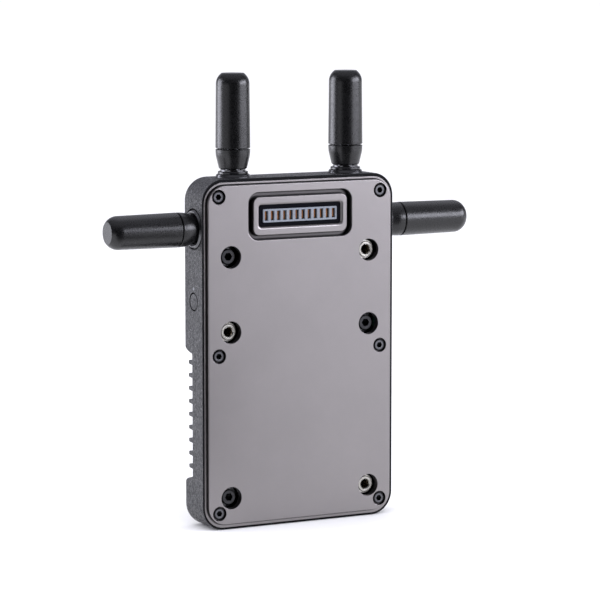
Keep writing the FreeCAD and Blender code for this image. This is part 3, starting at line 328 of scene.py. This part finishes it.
def satin_plate(name):
    """Blasted and anodised plate with a fine even grain; walls and deep floors are painted
    darker as shade, and the corners of the moat's floor near black as shade.
    """
    look = Finish(name)
    rounded = look.soft_edges(0.12)
    grain = look.noise(0.16, detail=2.0)
    clouds = look.noise(26.0, detail=4.0, rough=0.6)
    tone = look.span(look.weighted((clouds, 0.6), (grain, 0.4)), NOISE_SHARP)
    look.set(
        Base_Color=look.blend(tone, (0.246, 0.232, 0.232), (0.268, 0.252, 0.252)),
        Roughness=look.span(look.noise(3.0, detail=4.0), NOISE, (0.31, 0.34)),
        Metallic=0.92,
        Normal=look.bump(grain, 0.0012, rounded),
    )
    edges = look.calc("MULTIPLY", look.edge_mask(rounded), 0.2)
    look.paint_over(edges, (0.4, 0.39, 0.4))
    true_normal = look.add("NewGeometry").outputs["True Normal"]
    facing = look.calc("ABSOLUTE", look.vector("DOT_PRODUCT", true_normal, FORWARD))
    walls = look.span(facing, (0.2, 0.5), (1.0, 0.0))
    wall_and_floor_shade = look.calc("MAXIMUM", walls, look.span(look.axis("Y"), DEEP_FLOORS))
    # painted shade: walls that don't face the front, and floors sunk past DEEP_FLOORS, are
    # darkened
    look.paint_over(look.calc("MULTIPLY", wall_and_floor_shade, 0.9), (0.085, 0.08, 0.082))
    # painted shade: the corners of the moat's floor are coloured near black
    look.paint_over(moat_corner_shade(look), (0.006, 0.006, 0.006))
    return look


def plastic(name, dark, light, rough, specular=0.5, grain_size=0.2, grain_depth=0.008):
    """Moulded plastic with a fine spark-eroded texture."""
    look = Finish(name)
    grain = look.noise(grain_size)
    smears = look.noise(7.0, detail=5.0, rough=0.6)
    tone = look.weighted((grain, 0.5), (smears, 0.5))
    wear = look.weighted((grain, 0.7), (smears, 0.3))
    look.set(
        Base_Color=look.blend(look.span(tone, NOISE_SHARP), dark, light),
        Roughness=look.span(wear, (0.36, 0.64), (rough - 0.06, rough + 0.09)),
        Specular_IOR_Level=specular,
        Normal=look.bump(grain, grain_depth, look.soft_edges(0.12)),
    )
    return look


def metal(name, dark, light, rough, grain_size=0.25, stretch=(1, 1, 1)):
    """Machined or plated metal with fine marks."""
    look = Finish(name)
    marks = look.noise(grain_size, detail=4.0, stretch=stretch)
    tone = look.weighted((marks, 0.5), (look.noise(3.0), 0.5))
    look.set(
        Base_Color=look.blend(look.span(tone, NOISE_SHARP), dark, light),
        Roughness=look.span(marks, NOISE, (rough - 0.05, rough + 0.07)),
        Metallic=1.0,
        Normal=look.bump(marks, 0.004, look.soft_edges(0.08)),
    )
    return look


def socket_screws(name, node_name, head_radius, dark, light):
    """Blackened screws seen from the front, with painted shade in their sockets and on the
    outer edges of their heads.
    """
    look = metal(name, dark, light, rough=0.3)
    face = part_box(node_name)[0][1]
    socket_shade = look.span(look.axis("Y"), (face + 0.25 * MM, face + 0.5 * MM), (0.0, 0.92))
    radius = look.radius(island_centres(nodes[node_name].data))
    rim_shade = look.span(radius, (0.66 * head_radius, 0.82 * head_radius), (0.0, 0.85))
    # painted shade: the sockets and the outer edge of each head are coloured near black
    look.paint_over(look.calc("MAXIMUM", socket_shade, rim_shade), (0.004, 0.004, 0.004))
    return look


def turned_steel(name):
    """Bright turned steel of the bushes: rings on the face, thread in the bore."""
    look = Finish(name)
    radius = look.radius(island_centres(nodes["mounting_bushes"].data))
    in_bore = look.calc("LESS_THAN", radius, BUSH_BORE_RADIUS + BORE_TOLERANCE)
    thread = look.calc("MULTIPLY", look.wave(look.axis("Y"), 0.7), in_bore)
    relief = look.weighted((look.wave(radius, 0.16), 0.03), (thread, 0.5))
    stain = look.noise(1.2, detail=4.0)
    tone = look.span(stain, (0.35, 0.7))
    look.set(
        Base_Color=look.blend(tone, (0.46, 0.45, 0.42), (0.36, 0.345, 0.31)),
        Roughness=look.span(stain, NOISE, (0.17, 0.27)),
        Metallic=1.0,
        Normal=look.bump(relief, 0.12, look.soft_edges(0.08)),
    )
    look.paint_over(look.calc("MULTIPLY", in_bore, 0.8), (0.3, 0.25, 0.17))
    return look


def laminate(name):
    """Board laminate: green-black resist with a faint weave and copper runs beneath."""
    look = Finish(name)
    weave = look.calc("MULTIPLY", *[look.wave(look.axis(axis), 0.5) for axis in "XZ"])
    tracks = look.noise(2.2, detail=0.0, stretch=(1, 1, 3))
    runs = look.calc("GREATER_THAN", tracks, 0.56)
    look.set(
        Base_Color=look.blend(runs, (0.008, 0.03, 0.02), (0.02, 0.07, 0.04)),
        Roughness=look.span(look.noise(2.0), NOISE, (0.28, 0.4)),
        Normal=look.bump(look.weighted((weave, 0.1), (runs, 1.0)), 0.03),
    )
    return look


def rubber(name):
    """Soft black rubber, dull and faintly dusty."""
    look = Finish(name)
    dust = look.noise(1.4, detail=5.0, rough=0.7)
    tone = look.span(dust, (0.5, 0.85))
    look.set(
        Base_Color=look.blend(tone, (0.002, 0.002, 0.003), (0.006, 0.006, 0.007)),
        Roughness=look.span(dust, NOISE, (0.42, 0.6)),
        Specular_IOR_Level=0.08,
        Normal=look.bump(look.noise(0.15), 0.006, look.soft_edges(0.1)),
    )
    return look


def clouded_resin(name, tint):
    """Pale clouded resin of the status light and its guide."""
    look = Finish(name)
    cloud = look.noise(0.5, detail=4.0)
    darker = [0.8 * part for part in tint]
    look.set(
        Base_Color=look.blend(look.span(cloud, NOISE), tint, darker),
        Roughness=look.span(cloud, NOISE, (0.15, 0.3)),
        Normal=look.bump(cloud, 0.01),
    )
    return look


antenna_plastic = partial(
    plastic, dark=(0.0015, 0.0015, 0.0018), light=(0.004, 0.004, 0.0045), rough=0.28
)
# what makes the finish of each CAD material slot
SLOT_FINISHES = {
    "housing_cast": textured_paint,
    "cover_plate": satin_plate,
    "black_rubber": rubber,
    "black_screw": partial(
        metal, dark=(0.06, 0.06, 0.063), light=(0.095, 0.095, 0.1), rough=0.3
    ),
    "bush_steel": turned_steel,
    "sheet_steel": partial(
        metal,
        dark=(0.42, 0.42, 0.4),
        light=(0.55, 0.54, 0.52),
        rough=0.32,
        grain_size=0.5,
        stretch=(1, 1, 12),
    ),
    "board_laminate": laminate,
    "chip_resin": partial(
        plastic, dark=(0.012, 0.012, 0.013), light=(0.03, 0.03, 0.032), rough=0.5
    ),
    "pad_silicone": partial(
        plastic, dark=(0.2, 0.26, 0.34), light=(0.26, 0.32, 0.4), rough=0.6
    ),
    "ferrite": partial(
        plastic, dark=(0.035, 0.034, 0.033), light=(0.06, 0.058, 0.055), rough=0.55
    ),
    "contact_plastic": partial(
        plastic, dark=(0.17, 0.19, 0.225), light=(0.2, 0.22, 0.26), rough=0.34
    ),
    "contact_alloy": partial(
        metal, dark=(0.13, 0.055, 0.024), light=(0.22, 0.1, 0.045), rough=0.3
    ),
    "black_plastic": partial(
        plastic,
        dark=(0.002, 0.002, 0.004),
        light=(0.004, 0.004, 0.007),
        rough=0.45,
        specular=0.03,
    ),
    "button_plastic": textured_paint,
    "led_resin": partial(clouded_resin, tint=(0.7, 0.72, 0.6)),
    "light_guide": partial(clouded_resin, tint=(0.16, 0.17, 0.185)),
    "white_insulator": partial(
        plastic, dark=(0.7, 0.7, 0.67), light=(0.78, 0.78, 0.75), rough=0.4
    ),
    "jack_black": partial(
        metal, dark=(0.09, 0.09, 0.094), light=(0.13, 0.13, 0.135), rough=0.2
    ),
    "bezel_metal": partial(
        metal, dark=(0.1, 0.1, 0.104), light=(0.14, 0.14, 0.145), rough=0.2
    ),
    "coax_jacket": partial(
        plastic, dark=(0.02, 0.02, 0.022), light=(0.035, 0.035, 0.037), rough=0.4
    ),
    "antenna_collar": partial(antenna_plastic, grain_size=0.4, grain_depth=0.012),
    "antenna_sleeve": partial(antenna_plastic, grain_size=0.48, grain_depth=0.022),
}
# nodes that show a variant of their slot's finish: (its name, what makes it)
NODE_FINISHES = {
    "jack_seals": (
        "gloss_rubber",
        partial(
            plastic, dark=(0.004, 0.004, 0.005), light=(0.008, 0.008, 0.009), rough=0.16
        ),
    ),
    # painted light: the cover screws get a lighter copy of the screws' colour, standing in
    # for their lit heads
    "cover_screws": (
        "socket_cover_screws",
        partial(
            socket_screws,
            node_name="cover_screws",
            head_radius=2.25 * MM,
            dark=(0.1, 0.1, 0.107),
            light=(0.15, 0.15, 0.16),
        ),
    ),
    # painted shade: the frame screws, deep in the housing, get a darker copy of the screws'
    # colour
    "frame_screws": (
        "socket_frame_screws",
        partial(
            socket_screws,
            node_name="frame_screws",
            head_radius=3.4 * MM,
            dark=(0.035, 0.035, 0.037),
            light=(0.06, 0.06, 0.063),
        ),
    ),
}


def apply_finishes():
    """Give every CAD node the finish of its slot, or its own variant of it."""
    materials = {slot: make(slot).material for slot, make in SLOT_FINISHES.items()}
    for node in nodes.values():
        for place in node.material_slots:
            place.material = materials[place.material.name.split(".")[0]]
    for node_name, (finish_name, make) in NODE_FINISHES.items():
        nodes[node_name].material_slots[0].material = make(finish_name).material


# ---- floor, light and camera ----------------------------------------------------
# tint of the lights, and of the world except as the camera sees it
COOL = (0.965, 0.97, 1.09)
# height of the point that the lights face
LIT_HEIGHT = 0.08

# the world in reflections: all round, overhead and behind
SURROUND = 0.05
CEILING = 0.55
CEILING_RISE = (0.45, 0.95)
BACKDROP = 0.5
BACKDROP_AZIMUTH = 152
BACKDROP_WIDTH = (0.5, 0.95)
# the world as ambient light, and what the camera sees on top of that
AMBIENT = 0.42
CAMERA_WHITE = 2.0

FLOOR_SIZE = 60
FLOOR_COLOURS = ((0.9, 0.9, 0.905), (0.92, 0.92, 0.925))
# how much of the floor shows in reflections, and the sector of it that is kept dark there
FLOOR_SHOWN = 0.98
DARK_SHOWN = 0.02
DARK_AZIMUTH = -18
DARK_SECTOR = (math.cos(math.radians(39)), math.cos(math.radians(30)))
DARK_REACH = (0.06, 0.2)

# name, azimuth and elevation, distance, (width, height), radiance
FILLS = (
    ("front_fill", -20, 52, 1.3, (0.9, 0.9), 1.6),
    ("left_fill", -124, 14, 1.3, (1.2, 1.2), 2.0),
    ("right_fill", 54, 14, 1.3, (1.2, 1.2), 2.0),
)
REFLECTED_LIGHTS = (
    ("left_strip", -129, 9, 1.2, (0.8, 0.7), 6.8),
    ("right_strip", 51, 17, 0.9, (0.9, 0.34), 9.0),
)
OVERHEAD_STRENGTH = 2.4
OVERHEAD_SPREAD = 140
OVERHEAD_ELEVATION = 88

CAMERA_AZIMUTH = -27.79
CAMERA_ELEVATION = 7.07
CAMERA_DISTANCE = 1.071
# how far the aim is from the middle of the object's front, in x and z
CAMERA_AIM = (-0.26 * MM, -0.09 * MM)
CAMERA_LENS = 176.6
SENSOR_WIDTH = 36
CLIP_START = 0.01


def direction(azimuth, elevation=0.0):
    """Unit vector at an angle in degrees from the front, positive to the right and up."""
    turn, rise = math.radians(azimuth), math.radians(elevation)
    level = math.cos(rise)
    return Vector((math.sin(turn) * level, -math.cos(turn) * level, math.sin(rise)))


def stage_floor():
    """Large pale floor at the object's foot, faintly mottled, partly dark in reflections."""
    bpy.ops.mesh.primitive_plane_add(size=FLOOR_SIZE, location=(0, 0, cad_box[0][2]))
    floor = bpy.context.object
    floor.name = "studio_floor"
    look = Finish("studio_floor")
    pale = look.blend(look.noise(40.0, detail=2.0), *FLOOR_COLOURS)
    outward = look.vector("NORMALIZE", look.place)
    towards = look.vector("DOT_PRODUCT", outward, direction(DARK_AZIMUTH))
    sector = look.span(towards, DARK_SECTOR, smooth=True)
    beyond = look.span(look.vector("LENGTH", look.place), DARK_REACH, smooth=True)
    in_dark = look.calc("MULTIPLY", sector, beyond)
    shown = look.span(in_dark, (0.0, 1.0), (FLOOR_SHOWN, DARK_SHOWN))
    glossy_ray = look.add("LightPath").outputs["Is Glossy Ray"]
    dimming = look.calc("MULTIPLY", glossy_ray, look.calc("SUBTRACT", 1.0, shown))
    colour = look.blend(dimming, pale, BLACK)
    look.set(Base_Color=colour, Roughness=0.9, Specular_IOR_Level=0.1)
    floor.data.materials.append(look.material)
    floor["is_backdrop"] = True


def studio_world():
    """White for the camera, soft ambient light, and a ceiling and backdrop in reflections."""
    world = bpy.data.worlds.new("studio")
    bpy.context.scene.world = world
    world.use_nodes = True
    world.cycles.sampling_method = "NONE"
    sky = Nodes(world.node_tree, "Generated")
    rays = sky.add("LightPath").outputs
    ceiling = sky.span(sky.axis("Z"), CEILING_RISE, (0.0, CEILING), smooth=True)
    level = sky.vector("NORMALIZE", sky.vector("MULTIPLY", sky.place, (1.0, 1.0, 0.0)))
    behind = sky.vector("DOT_PRODUCT", level, direction(BACKDROP_AZIMUTH))
    backdrop = sky.span(behind, BACKDROP_WIDTH, (0.0, BACKDROP), smooth=True)
    reflected = sky.calc("ADD", sky.calc("ADD", SURROUND, ceiling), backdrop)
    strength = sky.calc("MULTIPLY", reflected, rays["Is Glossy Ray"])
    other_rays = sky.calc("SUBTRACT", 1.0, rays["Is Glossy Ray"])
    strength = sky.calc("MULTIPLY_ADD", other_rays, AMBIENT, strength)
    white = sky.calc("MULTIPLY", rays["Is Camera Ray"], CAMERA_WHITE)
    background = sky.add("Background")
    sky.join(sky.blend(rays["Is Camera Ray"], COOL, WHITE), background.inputs["Color"])
    sky.join(sky.calc("ADD", strength, white), background.inputs["Strength"])
    sky.join(background.outputs["Background"], sky.add("OutputWorld").inputs["Surface"])


def lamp_towards(name, data, azimuth, elevation, distance):
    """Light object at an angle from the front, turned to face the object's middle."""
    lamp = bpy.data.objects.new(name, data)
    bpy.context.scene.collection.objects.link(lamp)
    outward = direction(azimuth, elevation)
    lamp.location = Vector((0, 0, LIT_HEIGHT)) + outward * distance
    lamp.rotation_euler = outward.to_track_quat("Z", "Y").to_euler()
    lamp.visible_camera = False
    return lamp


def overhead():
    """Very wide even light from above, which also keeps the whole floor white."""
    data = bpy.data.lights.new("overhead", "SUN")
    data.energy = OVERHEAD_STRENGTH
    data.angle = math.radians(OVERHEAD_SPREAD)
    lamp = lamp_towards("overhead", data, 0, OVERHEAD_ELEVATION, 1.0)
    lamp.visible_glossy = False


def softbox(name, azimuth, elevation, distance, size, radiance, reflected=False):
    """Rectangular light of even radiance: a fill, or one that only shows in reflections."""
    data = bpy.data.lights.new(name, "AREA")
    data.shape = "RECTANGLE"
    data.size, data.size_y = size
    data.energy = radiance * math.pi * size[0] * size[1]
    data.color = COOL
    lamp = lamp_towards(name, data, azimuth, elevation, distance)
    lamp.visible_glossy = reflected
    lamp.visible_diffuse = not reflected


def camera():
    """Camera left of the front, a little above, on a long lens."""
    lows, highs = (Vector(corner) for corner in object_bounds())
    middle = (lows + highs) / 2
    target = Vector((CAMERA_AIM[0], lows.y, middle.z + CAMERA_AIM[1]))
    outward = direction(CAMERA_AZIMUTH, CAMERA_ELEVATION)
    data = bpy.data.cameras.new("camera")
    data.lens = CAMERA_LENS
    data.sensor_width = SENSOR_WIDTH
    data.clip_start = CLIP_START
    view = bpy.data.objects.new("camera", data)
    bpy.context.scene.collection.objects.link(view)
    view.location = target + outward * CAMERA_DISTANCE
    view.rotation_euler = outward.to_track_quat("Z", "Y").to_euler()
    bpy.context.scene.camera = view


def plain_view():
    """Show the light as it is, without a film look."""
    settings = bpy.context.scene.view_settings
    settings.view_transform = "Standard"
    settings.look = "None"
    settings.exposure = 0
    settings.gamma = 1


apply_finishes()
camera()
stage_floor()
studio_world()
overhead()
for light in FILLS:
    softbox(*light)
for light in REFLECTED_LIGHTS:
    softbox(*light, reflected=True)
plain_view()
